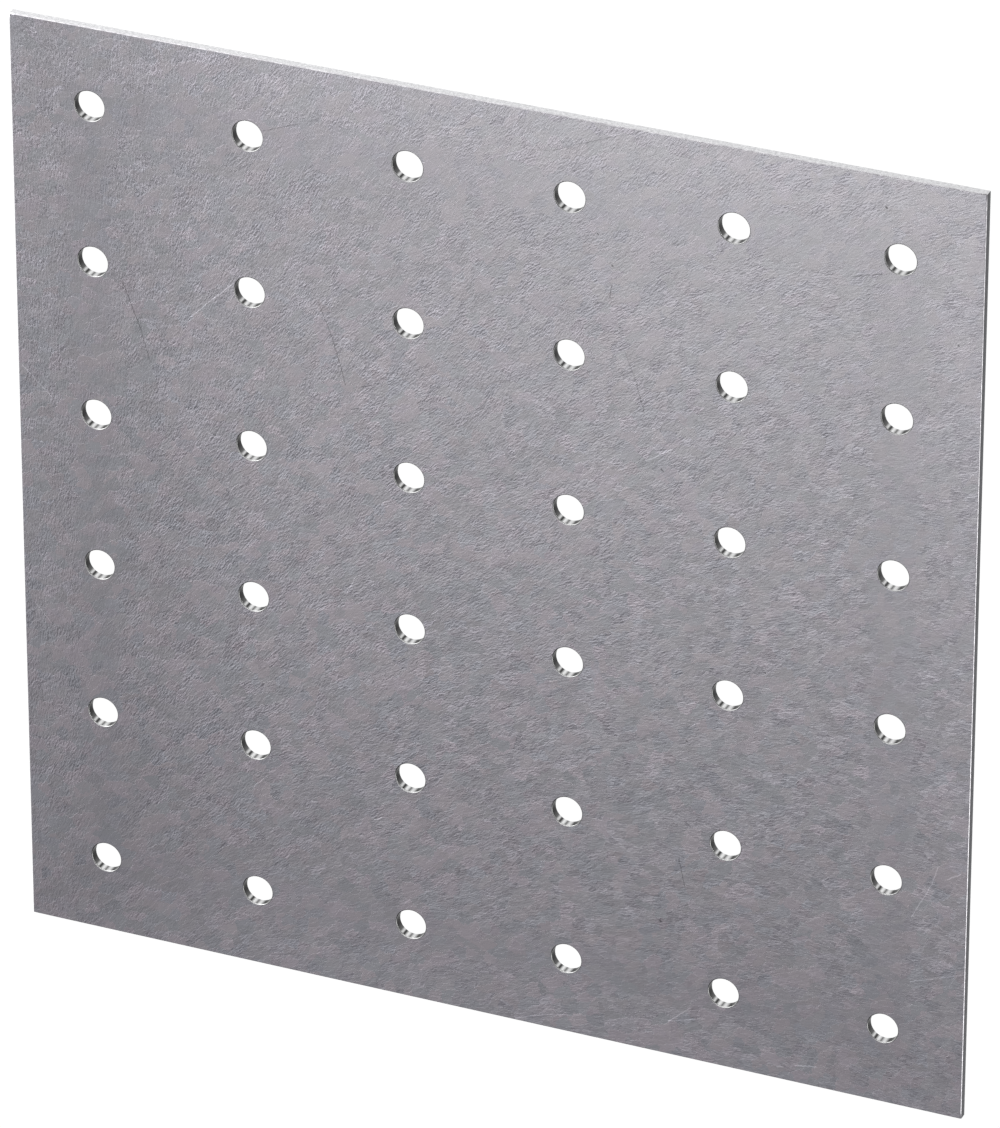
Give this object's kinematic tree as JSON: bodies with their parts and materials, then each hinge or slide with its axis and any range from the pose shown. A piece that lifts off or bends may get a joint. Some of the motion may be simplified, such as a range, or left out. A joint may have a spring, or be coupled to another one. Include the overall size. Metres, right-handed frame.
{
  "type": "gusset plate",
  "caption": "Flat square gusset plate of galvanised steel sheet, punched all over with a regular grid of plain round holes, for screwing or bolting framing members together.",
  "frame": {"origin": "centre of the plate's back face, on which it lies", "axes": "+Z out of the front face; +X along the rows of holes and +Y along the columns, towards the edge that is uppermost in the picture"},
  "size_m": [0.27, 0.27, 0.0025],
  "materials": {
    "galvanised_steel": "hot-dip galvanised, dull grey with faint pink and blue crystal flakes, lightly scratched"
  },
  "bodies": {
    "root": {"gusset_plate": "galvanised_steel"}
  },
  "joints": []
}
